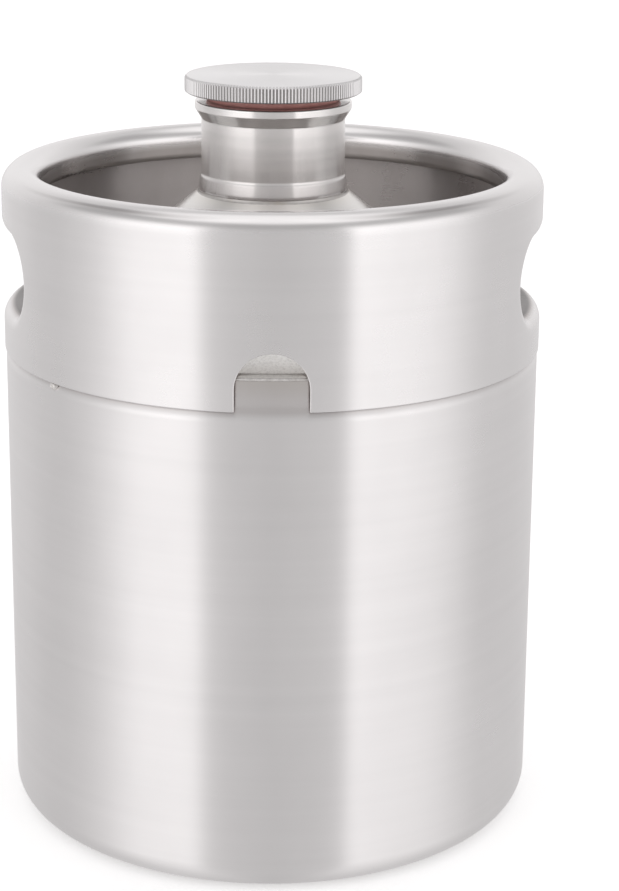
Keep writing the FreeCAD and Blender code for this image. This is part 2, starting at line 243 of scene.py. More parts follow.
def lathe(name, profile, segments=256, closed=True, warp=None, sharp=34.0):
    """A turned shape from (r, z) points. An open profile starts and ends on the axis."""
    profile = np.array(profile, float)
    angle = np.arange(segments) * TAU / segments
    r = np.repeat(profile[:, :1], segments, 1)
    z = np.repeat(profile[:, 1:], segments, 1)
    if warp:
        r, z = warp(r, z, angle)
    x, y = r * np.cos(angle), r * np.sin(angle)
    verts, rows = [], []
    for i, (radius, height) in enumerate(profile):
        if radius < 1e-6:
            rows.append([len(verts)] * segments)
            verts.append((0.0, 0.0, height))
        else:
            rows.append(list(range(len(verts), len(verts) + segments)))
            verts += list(zip(x[i], y[i], z[i]))
    faces = []
    for a, b in zip(rows, rows[1:] + (rows[:1] if closed else [])):
        for j in range(segments):
            k = (j + 1) % segments
            # at the axis two corners are one vertex, which leaves a triangle
            faces.append(list(dict.fromkeys([a[j], a[k], b[k], b[j]])))
    return mesh_object(name, verts, faces, sharp)


def smooth01(x):
    x = np.clip(x, 0, 1)
    return x * x * (3 - 2 * x)


def thread_height(z, angle, start_z, turns, half_root, half_tip, height):
    """Height of a right-hand thread ridge that fades in and out at its ends."""
    phase = (z - start_z) / PITCH - angle / TAU
    nearest = np.round(phase)
    dz = (phase - nearest) * PITCH
    turn = nearest + angle / TAU
    fade = smooth01(turn / 0.2) * smooth01((turns - turn) / 0.2)
    return height * np.clip((half_root - np.abs(dz)) / (half_root - half_tip), 0, 1) * fade


# ---------------------------------------------------------------- vessel
def build_shell():
    outer = rounded(SHELL_OUTLINE)
    inner = rounded(SHELL_OUTLINE, WALL_T)
    inner[0] = (0.0, inner[0][1])
    return lathe("vessel_shell_look", outer + inner[::-1], segments=384, closed=False)


def build_dome():
    outer = clip_inner(rounded(DOME_OUTLINE), DOME_HOLE_R)
    inner = clip_inner(rounded(DOME_OUTLINE, WALL_T), DOME_HOLE_R)
    return lathe("vessel_dome_look", outer + inner[::-1], segments=384)


# ---------------------------------------------------------------- collar
# A quarter of the collar is laid out flat as (s, z), s running round the sheet from the x axis
# to the y axis, then wrapped on the cylinder and mirrored three times.
def wrap(s, z, depth=0.0):
    angle = s / COLLAR_R
    r = COLLAR_R - depth
    return (r * math.cos(angle), r * math.sin(angle), z)


def vessel_envelope():
    """Radius of the vessel near the hand-holds, grown by the gap, as a function of height."""
    line = rounded([(NECKED_R, NECKED_Z, 0)] + DOME_OUTLINE[1:], -HOLD_GAP)
    r, z = np.array(line).T
    return lambda height: np.interp(height, z, r)


def hold_outline(straight_steps=18, arc_steps=34):
    """Half of the hand-hold opening, from above its centre to below it, and its normals."""
    straight = HOLD_HALF_W - HOLD_HALF_H
    edge, normal = [], []
    for i in range(straight_steps):
        edge.append((straight * i / straight_steps, HOLD_HALF_H))
        normal.append((0.0, 1.0))
    for i in range(arc_steps + 1):
        a = math.pi / 2 - math.pi * i / arc_steps
        edge.append((straight + HOLD_HALF_H * math.cos(a), HOLD_HALF_H * math.sin(a)))
        normal.append((math.cos(a), math.sin(a)))
    for i in range(1, straight_steps + 1):
        edge.append((straight * (1 - i / straight_steps), -HOLD_HALF_H))
        normal.append((0.0, -1.0))
    return np.array(edge), np.array(normal)


def quarter_outline(hold):
    """The lower edge with its notch, and the rest of the outline, anticlockwise."""
    half_notch = COLLAR_R * math.asin(NOTCH_R / COLLAR_R)
    notch_s = QUARTER - half_notch
    arch_z = COLLAR_Z0 + NOTCH_RISE
    lower = [(notch_s * i / 62, COLLAR_Z0) for i in range(62)]
    lower += [(notch_s, COLLAR_Z0 + NOTCH_RISE * i / 4) for i in range(4)]
    for i in range(15):
        a = math.pi - (math.pi / 2) * i / 14
        lower.append((QUARTER + half_notch * math.cos(a), arch_z + NOTCH_R * math.sin(a)))
    top_z = arch_z + NOTCH_R
    rest = [(QUARTER, top_z + (RIM_SPLIT - top_z) * i / 16) for i in range(1, 16)]
    rest += [(QUARTER * (1 - i / RIM_COLUMNS), RIM_SPLIT) for i in range(RIM_COLUMNS + 1)]
    rest += [(0.0, RIM_SPLIT + (hold[0][1] - RIM_SPLIT) * i / 4) for i in range(1, 4)]
    rest += hold
    rest += [(0.0, hold[-1][1] + (COLLAR_Z0 - hold[-1][1]) * i / 5) for i in range(1, 5)]
    return lower, rest


def flat_sheet(hold, step=1.5, margin=0.75):
    """Triangulated quarter: points, triangles and the point numbers of the lower edge."""
    lower, rest = quarter_outline(hold)
    ring = lower + rest
    polygon = np.array(ring)
    x1, y1 = polygon.T
    x2, y2 = np.roll(x1, -1), np.roll(y1, -1)

    def inside(x, y):
        hit = ((y1 > y) != (y2 > y)) & (x < (x2 - x1) * (y - y1) / (y2 - y1 + 1e-12) + x1)
        return hit.sum() % 2 == 1

    points = list(ring)
    rows = int((RIM_SPLIT - COLLAR_Z0) / (step * 0.87))
    for j in range(1, rows):
        z = COLLAR_Z0 + (RIM_SPLIT - COLLAR_Z0) * j / rows
        for i in range(int(QUARTER / step) + 1):
            s = step * (i + 0.5 * (j % 2))
            if 0.5 < s < QUARTER - 0.5 and inside(s, z):
                if np.min(np.hypot(x1 - s, y1 - z)) > margin:
                    points.append((s, z))
    count = len(ring)
    borders = [(i, (i + 1) % count) for i in range(count)]
    result = delaunay_2d_cdt([Vector(p) for p in points], borders, [], 1, 1e-6)
    flat = [tuple(v) for v in result[0]]
    number = {(round(s, 3), round(z, 3)): i for i, (s, z) in enumerate(flat)}
    return flat, result[2], [number[(round(s, 3), round(z, 3))] for s, z in lower]


def hold_flange(edge, normals):
    """Columns of (s, z, depth) on both sides of the flange that turns in round the hand-hold.

    It bends, runs straight, and stops where the vessel is in the way.
    """
    # columns: distance out from the opening, depth, and the sheet's normal in the same two
    profile = [
        (HOLD_BEND - HOLD_BEND * math.sin(a), HOLD_BEND - HOLD_BEND * math.cos(a),
         math.sin(a), math.cos(a))
        for a in np.radians(np.linspace(0, 90, 13))
    ]
    straight = HOLD_DEPTH - HOLD_BEND
    profile += [(0.0, HOLD_BEND + straight * j / 3, 1.0, 0.0) for j in range(1, 4)]
    profile = np.array(profile)
    steps = np.hypot(np.diff(profile[:, 0]), np.diff(profile[:, 1]))
    length = np.concatenate([[0], np.cumsum(steps)])

    def sample(at):
        return [np.interp(at, length, column) for column in profile.T]

    envelope = vessel_envelope()
    fine = np.linspace(0, length[-1], 120)
    out, depth, out_n, depth_n = sample(fine)
    outer, inner = [], []
    for (s, z), (ns, nz) in zip(edge, normals):
        inner_z = HOLD_Z + z + nz * (out + COLLAR_T * out_n)
        inner_r = COLLAR_R - depth - COLLAR_T * depth_n
        blocked = np.nonzero(inner_r < envelope(inner_z))[0]
        end = fine[blocked[0] - 1] if len(blocked) and blocked[0] > 1 else length[-1]
        column = list(zip(*sample(np.linspace(0, end, FLANGE_STEPS + 1))))
        outer.append([(s + ns * o, HOLD_Z + z + nz * o, d) for o, d, _, _ in column])
        thick = [(o + COLLAR_T * on, d + COLLAR_T * dn) for o, d, on, dn in column]
        inner.append([(s + ns * o, HOLD_Z + z + nz * o, d) for o, d in thick])
    return outer, inner


def rim_lines():
    """Outer and inner (r, z) lines of the rolled rim, up, over and down to its return curl."""
    line = rounded(RIM_OUTLINE, arc_step=4.0, max_step=1.0)
    outer = []
    for (r, z), (next_r, next_z) in zip(line, line[1:]):
        parts = 1
        if z > 162.5 and r > 64.5:  # finer where the crease runs
            parts = max(1, int(math.hypot(next_r - r, next_z - z) / 0.22))
        outer += [(r + (next_r - r) * j / parts, z + (next_z - z) * j / parts)
                  for j in range(parts)]
    outer.append(line[-1])
    tangent = np.gradient(np.array(outer), axis=0)
    tangent /= np.linalg.norm(tangent, axis=1)[:, None]
    tangent[0] = (0, 1)
    inner = [(r - COLLAR_T * tz, z + COLLAR_T * tr) for (r, z), (tr, tz) in zip(outer, tangent)]
    return outer, inner


def crease(r, z, x):
    """The faint line on the roll's outer shoulder, deepest either side of the front and back."""
    side = smooth01((abs(x) - 12) / 18) * (1 - smooth01((abs(x) - 44) / 14))
    dip = 0.11 * side * math.exp(-((math.hypot(r - 65.75, z - 164.32) / 0.42) ** 2))
    return r - 0.65 * dip, z - 0.76 * dip


def sheet_faces(outer, inner):
    """Both sides of a strip given as columns of vertices, and the edge at the columns' ends."""
    faces = []
    for a, b, c, d in zip(outer, outer[1:], inner, inner[1:]):
        for j in range(len(a) - 1):
            faces.append([a[j], b[j], b[j + 1], a[j + 1]])
            faces.append([c[j], c[j + 1], d[j + 1], d[j]])
        faces.append([a[-1], b[-1], d[-1], c[-1]])
    return faces


def collar_quarter():
    """Vertices, faces and painted_shade_depth flags of the +x +y quarter.

    These flags are 0 in view, 1 on the inner side and up to 2 deep inside a hand-hold; the collar
    material darkens by them as painted shade.
    """
    verts, faces, hidden = [], [], []

    def add(points, flags):
        first = len(verts)
        verts.extend(points)
        hidden.extend(np.broadcast_to(flags, len(points)))
        return list(range(first, len(verts)))

    edge, normals = hold_outline()
    hold = [(s, z + HOLD_Z) for s, z in edge + normals * HOLD_BEND]
    flat, triangles, lower = flat_sheet(hold)
    outer = add([wrap(s, z) for s, z in flat], 0.0)
    inner = add([wrap(s, z, COLLAR_T) for s, z in flat], 1.0)
    for triangle in triangles:
        faces.append([outer[v] for v in triangle])
        faces.append([inner[v] for v in reversed(triangle)])
    for a, b in zip(lower, lower[1:]):
        faces.append([outer[a], outer[b], inner[b], inner[a]])

    flange_outer, flange_inner = hold_flange(edge, normals)
    # flags rise deeper into the hand-hold, for painted shade
    outer = [add([wrap(*p) for p in column], [2.0 * smooth01((p[2] - 0.9) / 2.6) for p in column])
             for column in flange_outer]
    inner = [add([wrap(*p) for p in column], 1.0) for column in flange_inner]
    faces += sheet_faces(outer, inner)

    rim_outer, rim_inner = rim_lines()
    outer, inner = [], []
    for i in range(RIM_COLUMNS + 1):
        a = (math.pi / 2) * i / RIM_COLUMNS
        cos, sin = math.cos(a), math.sin(a)
        creased = [crease(r, z, COLLAR_R * cos) for r, z in rim_outer]
        outer.append(add([(r * cos, r * sin, z) for r, z in creased], 0.0))
        inner.append(add([(r * cos, r * sin, z) for r, z in rim_inner], 1.0))
    faces += sheet_faces(outer, inner)
    return verts, faces, hidden


def build_collar():
    quarter_verts, quarter_faces, hidden = collar_quarter()
    verts, faces = [], []
    for flip_x, flip_y in ((1, 1), (-1, 1), (-1, -1), (1, -1)):
        first = len(verts)
        verts += [(x * flip_x, y * flip_y, z) for x, y, z in quarter_verts]
        faces += [[first + v for v in face] for face in quarter_faces]
    ob = mesh_object("collar_look", verts, faces, sharp=40, merge=2.5e-5, hidden=hidden * 4)
    bevel = ob.modifiers.new("edges", "BEVEL")
    bevel.width = 0.26 * MM
    bevel.segments = 3
    bevel.limit_method = "ANGLE"
    bevel.angle_limit = math.radians(50)
    return ob


# ---------------------------------------------------------------- neck, cap, gasket
def build_neck():
    line = rounded(NECK_OUTLINE, closed=True)

    def warp(r, z, angle):
        """Thread standing inward from the bore."""
        on = (np.abs(r - BORE_R) < 0.02) & (z > 166.7) & (z < 180.45)
        ridge = thread_height(z, angle[None, :], start_z=168.0, turns=5.5,
                              half_root=0.885, half_tip=0.25, height=1.1)
        return np.where(on, r - ridge, r), z

    profile = refine_wall(line, BORE_R, shortest=0.12, step=0.1)
    return lathe("neck_look", profile, segments=288, warp=warp, sharp=50)


def build_cap():
    line = rounded(CAP_OUTLINE, arc_step=12)
    knurl = np.array([0.0, 0.0, 0.16, 0.36, 0.36, 0.16])  # depth of cut over one knurl
    rim_r = CAP_R - np.tile(knurl, KNURLS)

    def warp(r, z, angle):
        """Knurls round the rim, and thread standing outward from the plug."""
        rim = (r > 20.5) & (z > CAP_Z0 + 0.02)
        knurled = np.where(rim, np.minimum(r, rim_r[None, :]), r)
        on = (np.abs(r - PLUG_R) < 0.02) & (z > 171.6) & (z < 180.6)
        ridge = thread_height(z, angle[None, :], start_z=173.0, turns=3.0,
                              half_root=0.794, half_tip=0.13, height=1.15)
        return np.where(on, r + ridge, knurled), z

    profile = refine_wall(line, PLUG_R, shortest=0.15, step=0.13)
    return lathe("cap_look", profile, segments=len(rim_r), closed=False, warp=warp, sharp=60)


def build_gasket():
    return lathe("cap_gasket_look", rounded(GASKET_OUTLINE, closed=True, arc_step=6))


# ---------------------------------------------------------------- welds
def wobble(angle, seed, terms, low, high):
    """Sum of sines with random phases and whole frequencies from low up to high."""
    rng = np.random.default_rng(seed)
    total = np.zeros_like(angle)
    for _ in range(terms):
        frequency = rng.integers(low, high)
        total += np.sin(frequency * angle + rng.uniform(0, TAU))
    return total / math.sqrt(terms)


def build_girth_weld():
    bead_h = 0.2
    heights = np.linspace(-0.45, 0.35, 13)
    bulge = bead_h * (1 - ((heights + 0.05) / 0.4) ** 2)
    profile = [(NECKED_R + max(b, 0.0), GIRTH_Z + z) for z, b in zip(heights, bulge)]
    profile += [(NECKED_R - 0.02, GIRTH_Z + z) for z in (0.25, 0.0, -0.2, -0.35)]

    def warp(r, z, angle):
        """Ripples on the bead, and a bead line that wanders up and down."""
        bead = r > NECKED_R + 0.01
        wave = 0.010 * wobble(angle, seed=3, terms=6, low=40, high=260)
        wave += 0.014 * np.abs(np.sin(angle * 130))
        drift = 0.035 * wobble(angle, seed=4, terms=5, low=12, high=60)
        rippled = r + wave[None, :] * (r - NECKED_R) / bead_h - 0.015
        return np.where(bead, rippled, r), z + np.where(bead, drift[None, :] * 0.5, 0)

    return lathe("girth_weld_look", profile, segments=1560, warp=warp, sharp=180)


def build_neck_weld():
    ring_z = NECK_RING_Z
    # quadratic curve from the neck ring down to the dome
    start, pull, end = np.array([(18.6, ring_z), (18.72, ring_z - 0.62), (19.13, ring_z - 0.95)])
    profile = [(18.02, ring_z - 0.02)]
    for t in np.linspace(0, 1, 12):
        profile.append(tuple((1 - t) ** 2 * start + 2 * t * (1 - t) * pull + t * t * end))
    for r, sink in ((19.05, 0.02), (18.5, 0.02), (18.02, 0.03)):
        dome_z = DOME_HOLE_Z - (r - DOME_HOLE_R) * DOME_RISE / DOME_RUN
        profile.append((r, dome_z - sink))

    def warp(r, z, angle):
        wave = 0.006 * wobble(angle, seed=8, terms=6, low=15, high=90)
        wave += 0.006 * np.abs(np.sin(angle * 60))
        return np.where(r > 18.62, r + wave[None, :], r), z

    return lathe("neck_weld_look", profile, segments=576, warp=warp, sharp=180)


def build_tacks():
    """Two blobs under the collar's lower edge, on opposite sides of the vessel."""
    half_w, half_h = 1.28, 1.12
    flat_top = 0.68  # the blob is cut level here
    spokes, rings = 40, 20
    verts, faces = [], []
    for degrees in (-50.3, 129.7):  # from the front towards +x
        a = math.radians(degrees)
        outward = np.array([math.sin(a), -math.cos(a), 0.0])
        sideways = np.array([math.cos(a), math.sin(a), 0.0])
        centre = outward * 67.0 + np.array([0, 0, COLLAR_Z0 - 0.7])
        first = len(verts)
        verts.append(centre + outward * 0.62)
        for i in range(1, rings + 1):
            rho = i / rings
            # domed, with a dimple in the middle and faint rings
            lift = 0.74 * math.sqrt(max(0.0, 1 - rho**2.4))
            lift -= 0.16 * math.exp(-((rho - 0.1) / 0.28) ** 2)
            lift += 0.035 * math.cos(rho * 17) - 0.35 * rho**3
            for j in range(spokes):
                g = TAU * j / spokes
                edge = 1.0 + 0.06 * math.sin(3 * g + 0.7) + 0.04 * math.sin(5 * g + degrees)
                across = half_w * rho * edge * math.cos(g)
                up = min(half_h * rho * edge * math.sin(g), flat_top)
                verts.append(centre + sideways * across + np.array([0, 0, up]) + outward * lift)
        back = len(verts)
        verts.append(centre - outward * 0.9)
        for j in range(spokes):
            k = (j + 1) % spokes
            faces.append([first, first + 1 + j, first + 1 + k])
            for i in range(rings - 1):
                p = first + 1 + i * spokes
                faces.append([p + j, p + spokes + j, p + spokes + k, p + k])
            p = first + 1 + (rings - 1) * spokes
            faces.append([p + k, p + j, back])
    return mesh_object("collar_tack_welds_look", verts, faces, sharp=60)


# ---------------------------------------------------------------- shader helpers
class Graph:
    """Short ways to add nodes to a tree. A value is a number, a colour or another's output."""

    def __init__(self, owner):
        owner.use_nodes = True
        self.tree = owner.node_tree
        self.tree.nodes.clear()

    def put(self, socket, value):
        if isinstance(value, bpy.types.NodeSocket):
            self.tree.links.new(value, socket)
        else:
            socket.default_value = value

    def node(self, kind, inputs=(), **settings):
        made = self.tree.nodes.new("ShaderNode" + kind)
        for name, value in settings.items():
            setattr(made, name, value)
        for key, value in dict(inputs).items():
            self.put(made.inputs[key], value)
        return made

    def math(self, operation, *values, clamp=False):
        inputs = enumerate(values)
        return self.node("Math", inputs, operation=operation, use_clamp=clamp).outputs[0]

    def add(self, a, b):
        return self.math("ADD", a, b)

    def sub(self, a, b):
        return self.math("SUBTRACT", a, b)

    def mul(self, a, b):
        return self.math("MULTIPLY", a, b)

    def swing(self, value, gain, mean=0.5):
        """A texture value centred on zero and scaled."""
        return self.mul(self.sub(value, mean), gain)

    def span(self, value, from_min, from_max, to_min, to_max):
        inputs = enumerate((value, from_min, from_max, to_min, to_max))
        return self.node("MapRange", inputs, clamp=True).outputs[0]

    def separate(self, vector):
        return self.node("SeparateXYZ", {0: vector}).outputs

    def noise(self, vector, scale, detail, rough):
        inputs = {"Scale": scale, "Detail": detail, "Roughness": rough, "Vector": vector}
        return self.node("TexNoise", inputs).outputs["Fac"]

    def mix(self, factor, a, b, mode="MIX"):
        a, b = [(*c, 1.0) if isinstance(c, tuple) else c for c in (a, b)]
        inputs = {0: factor, 6: a, 7: b}
        return self.node("Mix", inputs, data_type="RGBA", blend_type=mode).outputs[2]


class Surface(Graph):
    """A material with one Principled shader."""

    def __init__(self, name):
        self.material = bpy.data.materials.new(name)
        super().__init__(self.material)
        output = self.node("OutputMaterial")
        self.bsdf = self.node("BsdfPrincipled")
        self.put(output.inputs[0], self.bsdf.outputs[0])

    def set(self, name, value):
        self.put(self.bsdf.inputs[name], value)

    def place(self):
        return self.node("TexCoord").outputs["Object"]

    def bump(self, height, strength, distance):
        """Bump with its distance in mm."""
        inputs = {"Strength": strength, "Distance": distance * MM, "Height": height}
        self.set("Normal", self.node("Bump", inputs).outputs[0])


# ---------------------------------------------------------------- materials
def zone_factor(surface, limits, places):
    """Product of ramps (measure, value at 0, value at 1); r and z are in mm."""
    factor = None
    for measure, start, full in limits:
        if measure == "hidden":
            attribute = surface.node("Attribute", attribute_name="painted_shade_depth")
            ramp = surface.span(attribute.outputs["Fac"], start, full, 0.0, 1.0)
        else:
            ramp = surface.span(places[measure], start * MM, full * MM, 0.0, 1.0)
        factor = ramp if factor is None else surface.mul(factor, ramp)
    return factor


def heat_tint_and_painted_shade(surface, base, x, places, smudge, z, width, color, amount, radius=None, sides=False):
    """Colour fading out over width mm from a height, or from a ring if radius is given.

    sides keeps it to |x| between about 10 and 60 mm. It draws the heat colours and also a painted
    shade line on the collar's crease.
    """
    g = surface
    away = g.math("ABSOLUTE", g.sub(places["z"], z * MM))
    if radius is not None:
        away_r = g.math("ABSOLUTE", g.sub(places["r"], radius * MM))
        away = g.math("SQRT", g.add(g.mul(away, away), g.mul(away_r, away_r)))
    away = g.add(away, g.swing(smudge, width * 0.5 * MM))
    factor = g.span(away, 0.2 * width * MM, width * MM, amount, 0.0)
    if sides:
        factor = g.mul(factor, g.span(g.math("ABSOLUTE", x), 10 * MM, 32 * MM, 0.0, 1.0))
        factor = g.mul(factor, g.span(g.math("ABSOLUTE", x), 42 * MM, 60 * MM, 1.0, 0.0))
    return g.mix(factor, base, color)


def steel(name, color, rough, aniso, bump, streak=0.05, grain=0.004, cloud=0.05,
          radial=0.35, speckle=0.0, tints=(), zones=(), polish=None):
    """Stainless steel brushed round the axis.

    streak, grain and cloud are amounts of colour variation; speckle is the amount of dark spots
    low on the dome. radial is how much the brushing follows the radius as well as the height:
    1 gives clear rings on flat tops. tints are heat colours, and on the collar a painted shade
    line along the rim's crease. zones are darker parts, most of them painted shade in gaps,
    recesses and undersides. polish changes the roughness and anisotropy of one part.
    """
    g = Surface(name)
    place = g.place()
    x, y, z = g.separate(place)
    r = g.math("SQRT", g.add(g.mul(x, x), g.mul(y, y)))
    places = {"r": r, "z": z}
    across = g.add(z, g.mul(r, radial))

    def brushing(slow, fast, detail):
        """Noise that changes slowly along the scratches and fast across them."""
        inputs = {0: g.mul(x, slow), 1: g.mul(y, slow), 2: g.mul(across, fast)}
        vector = g.node("CombineXYZ", inputs).outputs[0]
        return g.noise(vector, 1.0, detail, 0.5)

    fine = brushing(slow=7.0, fast=1500.0, detail=2.5)
    wide = brushing(slow=9.0, fast=420.0, detail=1.5)
    clouds = g.noise(place, scale=26.0, detail=3.0, rough=0.55)
    squashed = g.node("Mapping", {"Scale": (60, 60, 34), "Vector": place}).outputs[0]
    smudge = g.noise(squashed, scale=1.0, detail=4.0, rough=0.6)

    shade = g.add(g.swing(fine, grain * 2), g.swing(wide, streak))
    shade = g.add(g.add(shade, g.swing(clouds, cloud)), 1.0)
    base = g.node("VectorMath", {0: color, "Scale": shade}, operation="SCALE").outputs[0]
    if speckle > 0:
        spots = g.noise(place, scale=1500.0, detail=4.0, rough=0.7)
        low_part = g.span(z, 130.5 * MM, 137 * MM, 1.0, 0.05)
        factor = g.mul(g.span(spots, 0.45, 0.68, 0.0, speckle), low_part)
        base = g.mix(factor, base, (color[0] * 0.45, color[1] * 0.44, color[2] * 0.43))
    # heat colours, and on the collar a painted shade line along the crease
    for tint in tints:
        base = heat_tint_and_painted_shade(g, base, x, places, smudge, **tint)
    # darker zones, most of them painted shade in gaps, recesses and undersides
    for limits, strength, zone_color in zones:
        factor = g.mul(zone_factor(g, limits, places), strength)
        factor = g.mul(factor, g.span(smudge, 0.3, 0.75, 1.0, 0.8))
        base = g.mix(factor, base, zone_color, "MULTIPLY")
    g.set("Base Color", base)
    g.set("Metallic", 1.0)

    roughness = g.add(g.swing(fine, 0.02), rough)
    roughness = g.math("ADD", roughness, g.swing(smudge, 0.10, mean=0.45), clamp=True)
    anisotropy = aniso
    if polish:
        shine = zone_factor(g, polish["limits"], places)
        roughness = g.mul(roughness, g.add(g.mul(shine, polish["rough_scale"] - 1.0), 1.0))
        anisotropy = g.add(g.mul(shine, polish["aniso"] - aniso), aniso)
    g.set("Anisotropic", anisotropy)
    g.set("Roughness", roughness)
    g.set("Anisotropic Rotation", 0.25)
    g.set("Tangent", g.node("Tangent", direction_type="RADIAL", axis="Z").outputs[0])

    height = g.add(g.mul(fine, 0.15), g.mul(wide, 0.6))
    if speckle > 0:
        height = g.add(height, g.mul(g.mul(spots, low_part), 5.0))
    g.bump(height, bump, distance=0.03)
    return g.material


def weld_metal(name, low, high, bump):
    """Mottled metal between two colours, with brownish patches."""
    g = Surface(name)
    place = g.place()
    grain = g.noise(place, scale=900.0, detail=5.0, rough=0.65)
    patches = g.noise(place, scale=160.0, detail=3.0, rough=0.5)
    color = g.mix(g.span(grain, 0.3, 0.7, 0, 1), low, high)
    color = g.mix(g.span(patches, 0.5, 0.75, 0, 0.35), color, (0.46, 0.37, 0.26))
    g.set("Base Color", color)
    g.set("Metallic", 1.0)
    g.set("Roughness", g.span(grain, 0.2, 0.8, 0.25, 0.5))
    g.bump(grain, bump, distance=0.06)
    return g.material


def silicone(name):
    g = Surface(name)
    place = g.place()
    grain = g.noise(place, scale=700.0, detail=4.0, rough=0.6)
    patches = g.noise(place, scale=120.0, detail=3.0, rough=0.5)
    color = g.mix(g.span(grain, 0.3, 0.7, 0, 1), (0.52, 0.215, 0.195), (0.62, 0.28, 0.255))
    color = g.mix(g.span(patches, 0.5, 0.8, 0, 0.3), color, (0.50, 0.30, 0.28))
    g.set("Base Color", color)
    g.set("Roughness", g.span(patches, 0.3, 0.7, 0.38, 0.55))
    g.set("Sheen Weight", 0.15)
    g.bump(grain, strength=0.2, distance=0.03)
    return g.material


PLAIN_STEEL = (0.82, 0.805, 0.805)
STRAW = (0.70, 0.60, 0.42)
WARM_PAINTED_SHADE = (0.40, 0.375, 0.36)
SOFT_GREY = (0.84, 0.83, 0.83)

# zones are (limits, strength, colour to multiply by)
mat_body = steel(
    "steel_body_look", PLAIN_STEEL, rough=0.29, aniso=1.0, bump=0.02,
    tints=[dict(z=GIRTH_Z, width=5.0, color=(0.66, 0.62, 0.56), amount=0.35)],
    zones=[
        # painted shade in the gap under the collar's lower edge
        ([("z", 118.6, 119.8)], 0.9, (0.80, 0.78, 0.77)),
        # painted shade along the base where it stands on the floor
        ([("z", 1.6, 0.4)], 0.6, WARM_PAINTED_SHADE),
    ],
)
mat_dome = steel(
    "steel_dome_look", (0.93, 0.92, 0.90), rough=0.30, aniso=0.8, bump=0.12,
    streak=0.08, cloud=0.12, speckle=0.42,
    tints=[
        dict(z=158.6, width=3.0, radius=19.3, color=STRAW, amount=0.10),
        dict(z=GIRTH_Z, width=3.0, color=(0.56, 0.52, 0.47), amount=0.5),
    ],
    zones=[([("r", 52.0, 40.0)], 0.9, SOFT_GREY)],
)
mat_collar = steel(
    "steel_collar_look", PLAIN_STEEL, rough=0.28, aniso=1.0, bump=0.02,
    polish=dict(limits=[("z", 160.5, 162.5), ("r", 67.45, 66.8)], rough_scale=0.75, aniso=0.35),
    # painted shade: a dark line along the crease on the roll's outer shoulder
    tints=[dict(z=164.3, width=0.8, radius=65.75, color=(0.42, 0.40, 0.395), amount=0.6,
                sides=True)],
    zones=[
        # painted shade on the collar's inner side below the rim
        ([("hidden", 0.0, 1.0), ("z", 160.5, 158.5)], 1.0, (0.55, 0.52, 0.51)),
        # deep painted shade inside the hand-hold flanges
        ([("hidden", 0.9, 1.8)], 1.0, (0.20, 0.195, 0.195)),
        # painted shade on the inner leg of the rim's curl
        ([("r", 60.0, 58.4), ("z", 162.6, 159.6)], 1.0, (0.50, 0.47, 0.45)),
    ],
)
mat_neck = steel(
    "steel_neck_look", (0.85, 0.83, 0.82), rough=0.20, aniso=1.0, bump=0.03,
    streak=0.18, grain=0.05,
    zones=[
        ([("z", 163.4, 162.6), ("r", 17.0, 17.5)], 1.0, SOFT_GREY),
        # painted shade inside the bore
        ([("r", 15.6, 15.0)], 0.8, WARM_PAINTED_SHADE),
    ],
)
mat_cap = steel(
    "steel_cap_look", (0.80, 0.79, 0.795), rough=0.24, aniso=0.6, bump=0.05,
    streak=0.04, grain=0.03, radial=1.0,
    zones=[
        # painted shade in the knurl grooves
        ([("r", 21.93, 21.70), ("z", CAP_Z1 - 0.35, CAP_Z1 - 0.75)], 1.0, (0.36, 0.345, 0.34)),
        # painted shade under the cap round the plug
        ([("r", 16.2, 15.0), ("z", 183.3, 182.5)], 0.8, WARM_PAINTED_SHADE),
    ],
)
mat_weld = weld_metal("weld_look", low=(0.60, 0.58, 0.56), high=(0.90, 0.88, 0.86), bump=0.2)
mat_neck_weld = weld_metal(
    "neck_weld_look_metal", low=(0.50, 0.48, 0.465), high=(0.62, 0.60, 0.58), bump=0.08)
mat_gasket = silicone("gasket_silicone_look")

# ---------------------------------------------------------------- pieces
# (object, CAD piece it replaces, body it rides on, material slot, material)
pieces = [
    (build_shell(), "vessel_shell", "keg", "steel_body", mat_body),
    (build_dome(), "vessel_dome", "keg", "steel_dome", mat_dome),
    (build_collar(), "collar", "keg", "steel_collar", mat_collar),
    (build_neck(), "neck", "keg", "steel_neck", mat_neck),
    (build_girth_weld(), "girth_weld", "keg", "weld", mat_weld),
    (build_neck_weld(), "neck_weld", "keg", "weld", mat_neck_weld),
    (build_tacks(), "collar_tack_welds", "keg", "weld", mat_weld),
    (build_cap(), "cap", "cap", "steel_cap", mat_cap),
    (build_gasket(), "cap_gasket", "gasket", "gasket_silicone", mat_gasket),
]
for ob, node, body, slot, material in pieces:
    ob.data.materials.append(material)
    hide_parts(node)
    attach(ob, body)


# ---------------------------------------------------------------- floor
def build_floor():
    """A pale, faintly glowing disc just below z = 0, left out of reflections."""
    level = -0.00002  # metres, as are the radii
    radii = (0.09, 0.2, 0.6, 2.0, 8.0)
    count = 96
    verts = [(0.0, 0.0, level)]
    for r in radii:
        angles = [TAU * i / count for i in range(count)]
        verts += [(r * math.cos(a), r * math.sin(a), level) for a in angles]
    faces = [[0, 1 + i, 1 + (i + 1) % count] for i in range(count)]
    for k in range(len(radii) - 1):
        for i in range(count):
            a, b = 1 + k * count + i, 1 + k * count + (i + 1) % count
            faces.append([a, a + count, b + count, b])
    mesh = bpy.data.meshes.new("floor")
    mesh.from_pydata(verts, [], faces)
    floor = link_object("floor", mesh)
    g = Surface("floor_pale")
    g.set("Base Color", (0.93, 0.93, 0.93, 1))
    g.set("Roughness", 0.9)
    g.set("Emission Color", (1, 1, 1, 1))
    g.set("Emission Strength", 0.38)
    mesh.materials.append(g.material)
    floor.visible_glossy = False


